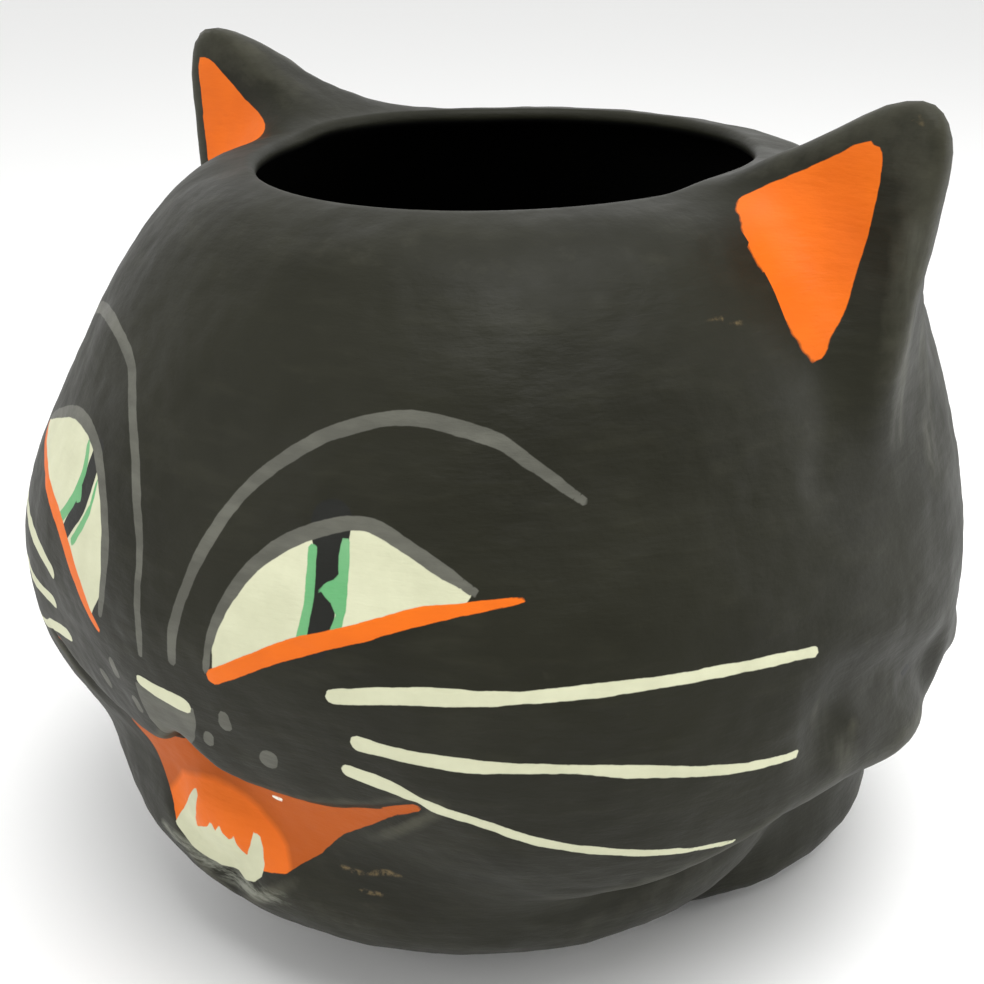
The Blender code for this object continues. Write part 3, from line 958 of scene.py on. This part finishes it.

# %% [markdown]
# Under the colours lies the black. It varies slowly over the head, has faint level streaks from
# the brush, is painted lighter on proud edges (partly wear, partly painted sheen) and in streaks of
# painted highlight, and carries a few specks of white dust.

# %% Black ground
streak_place = node("Mapping", None, {"Scale": (0.25, 0.25, 1.0)}, Vector=place).outputs["Vector"]
streaks = noise(5, 4.0, 0.6, streak_place)
standing = node("Mapping", None, {"Scale": (1.0, 1.0, 0.18)}, Vector=place).outputs["Vector"]
clouds = noise(45, 3.0, 0.55)
black = blend(stepped(clouds, 0.35, 0.65), "1a1a0f", "212116")
black = blend(stepped(streaks, 0.52, 0.75, 0.0, 0.30), black, "323226")
ragged_bulge = maths("ADD", layer_value("bulge"), around_nothing(noise(7, 4.0, 0.65), 0.20))
# Proud edges are painted lighter gray: partly wear, partly painted sheen.
proud_wear_and_sheen = stepped(ragged_bulge, 0.05, 0.22, 0.0, 0.6)
black = blend(proud_wear_and_sheen, black, "4d4c3f")
# Upright strands of lighter gray inside the streaks of painted highlight.
strands = stepped(noise(4, 4.0, 0.6, standing), 0.4, 0.65, 0.1, 0.55)
near_sheen_streak = stepped(layer_value("sheen_streaks"), 3.0, -2.5)
black = blend(maths("MULTIPLY", near_sheen_streak, strands), black, "5a5a50")
specks = node("TexVoronoi", None, {"Scale": 1000.0 / 16.0}, Vector=place)
speck_size = maths("MULTIPLY", noise(30, 1.0), 0.034)
speck_mask = maths("LESS_THAN", specks.outputs["Distance"], maths("SUBTRACT", speck_size, 0.0145))
black = blend(maths("MULTIPLY", speck_mask, 0.55), black, "a9aaa0")
# The inner side is painted darker than the outer black, as shade inside the hollow.
black = blend(layer_value("inner"), black, "0f0f0d")

# %% [markdown]
# The colours are laid over one another in the order of the brush: eye white, slit, green, gray,
# orange and last the cream. Each has faint patches where it went on thinner. The orange in the
# recess of the mouth is painted darker than on the ledge, as painted shade. The smudge, the fleck
# and the scratches come on top.

# %% Colours over the ground
patches = stepped(noise(12, 4.0, 0.6), 0.35, 0.7)
cream = blend(patches, "cdceb0", "c3c4a6")
gray = blend(stepped(streaks, 0.4, 0.65), "53534b", "616158")
green = blend(patches, "62a56d", "72aa78")
hot = stepped(noise(20, 3.0, 0.6), 0.3, 0.7)
orange = blend(hot, "e56d10", "db6613")
in_mouth = maths("LESS_THAN", node("SeparateXYZ", None, None, Vector=place).outputs["Z"], 100 * MM)
# Painted shade: the orange is darkened in the mouth's recess, away from the ledge.
painted_recess_shade = maths("MULTIPLY", stepped(layer_value("ledge"), -0.8, 1.2), in_mouth)
orange = blend(painted_recess_shade, orange, "b0520b")
colour = blend(white_mask, black, cream)
colour = blend(slit_mask, colour, "1b1c18")
colour = blend(green_mask, colour, green)
colour = blend(gray_mask, colour, gray)
colour = blend(orange_mask, colour, orange)
colour = blend(cream_mask, colour, cream)
dry_brush = stepped(noise(3.0, 4.0, 0.7, streak_place), 0.40, 0.58, 0.0, 0.8)
smear = maths("MULTIPLY", stepped(layer_value("smudge"), 1.0, -2.0), dry_brush)
colour = blend(maths("MULTIPLY", smear, maths("SUBTRACT", 1.0, cream_mask)), colour, "8a8c80")
colour = blend(mask("fleck"), colour, "f2f0e2")
broken = stepped(noise(1.6, 3.0, 0.6), 0.42, 0.66, 0.0, 0.6)
colour = blend(maths("MULTIPLY", mask("scratch", 0.35), broken), colour, "83704c")
tree.links.new(colour, shader.inputs["Base Color"])

# %% [markdown]
# Matte paint scatters most light, with a weak, wide gloss. The grain of the pulp shows as a fine
# bump, and brush marks as a longer one.

# %% Gloss and grain
shader.inputs["IOR"].default_value = 1.45
shader.inputs["Specular IOR Level"].default_value = 0.22
shader.inputs["Metallic"].default_value = 0.0
tree.links.new(stepped(noise(18, 4.0, 0.6), 0.3, 0.7, 0.48, 0.62), shader.inputs["Roughness"])
grain_size = {"Strength": 0.35, "Distance": 0.25 * MM}
brush_size = {"Strength": 0.5, "Distance": 0.8 * MM}
grain = node("Bump", None, grain_size, Height=noise(2.2, 4.0, 0.6))
brushed = node("Bump", None, brush_size, Height=streaks, Normal=grain.outputs["Normal"])
tree.links.new(brushed.outputs["Normal"], shader.inputs["Normal"])
mesh.materials.append(paint)

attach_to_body(head, "root")
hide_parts("cat_head")
print("nodes in the material:", len(tree.nodes))

# %% [markdown]
# The head stands on a plain pale floor. A large lamp above gives the soft sheen on the brow, weaker
# ones fill in from the front and the right, and the room is brighter behind the head than in front
# of it, which draws a light edge round the black. The camera looks from the cat's front left, a
# little down.

# %% Floor, light and camera
floor_material = bpy.data.materials.new("pale_floor")
floor_material.use_nodes = True
floor_shader = floor_material.node_tree.nodes["Principled BSDF"]
floor_shader.inputs["Base Color"].default_value = from_hex("fdfdfc")
floor_shader.inputs["Roughness"].default_value = 0.9
floor_mesh = bpy.data.meshes.new("floor")
floor_mesh.from_pydata([(-6, -6, 0), (6, -6, 0), (6, 6, 0), (-6, 6, 0)], [], [(0, 1, 2, 3)])
floor_mesh.materials.append(floor_material)
floor = bpy.data.objects.new("floor", floor_mesh)
bpy.context.collection.objects.link(floor)

DIM_FRONT = 0.40
BRIGHT_BACK = 1.35
world = bpy.data.worlds.new("studio")
world.use_nodes = True
world.node_tree.nodes["Background"].inputs["Color"].default_value = from_hex("ffffff")
# The room behind the head is white, and the side that it faces is dimmer.
sky = world.node_tree.nodes
direction = sky.new("ShaderNodeTexCoord")
behind = sky.new("ShaderNodeVectorMath")
behind.operation = "DOT_PRODUCT"
behind.inputs[1].default_value = (-0.62, 0.78, 0.0)
brightness = sky.new("ShaderNodeMapRange")
for socket, value in (("From Min", -0.3), ("From Max", 0.6), ("To Min", DIM_FRONT), ("To Max", BRIGHT_BACK)):
    brightness.inputs[socket].default_value = value
world.node_tree.links.new(direction.outputs["Generated"], behind.inputs[0])
world.node_tree.links.new(behind.outputs["Value"], brightness.inputs["Value"])
world.node_tree.links.new(brightness.outputs["Result"], sky["Background"].inputs["Strength"])
bpy.context.scene.world = world
bpy.context.scene.view_settings.view_transform = "Standard"


def lamp(name, place_at, size, watts):
    data = bpy.data.lights.new(name, "AREA")
    data.shape = "DISK"
    data.size = size
    data.energy = watts
    made = bpy.data.objects.new(name, data)
    bpy.context.collection.objects.link(made)
    made.location = place_at
    aim = Vector((0, 0, 0.12)) - Vector(place_at)
    made.rotation_euler = aim.to_track_quat("-Z", "Y").to_euler()
    return made


lamp("above", (0.40, -0.20, 1.25), 0.9, 12)
lamp("front", (-0.4, -1.5, 0.8), 0.9, 6)
lamp("right_side", (1.1, 0.8, 0.5), 0.8, 5)

AZIMUTH = math.radians(38.5)
PITCH = math.radians(23.398)
FOCAL_PIXELS = 1510.0
IMAGE_PIXELS = 984.0
SENSOR = 36.0
CAMERA_PLACE = (0.25555, -0.32902, 0.28819)
look = Vector((-math.sin(AZIMUTH) * math.cos(PITCH), math.cos(AZIMUTH) * math.cos(PITCH), -math.sin(PITCH)))
right = Vector((math.cos(AZIMUTH), math.sin(AZIMUTH), 0.0))
up = right.cross(look)
camera_data = bpy.data.cameras.new("camera")
camera_data.sensor_width = SENSOR
camera_data.lens = FOCAL_PIXELS / IMAGE_PIXELS * SENSOR
camera = bpy.data.objects.new("camera", camera_data)
bpy.context.collection.objects.link(camera)
turn = Matrix((right, up, -look)).transposed().to_4x4()
camera.matrix_world = Matrix.Translation(CAMERA_PLACE) @ turn
bpy.context.scene.camera = camera
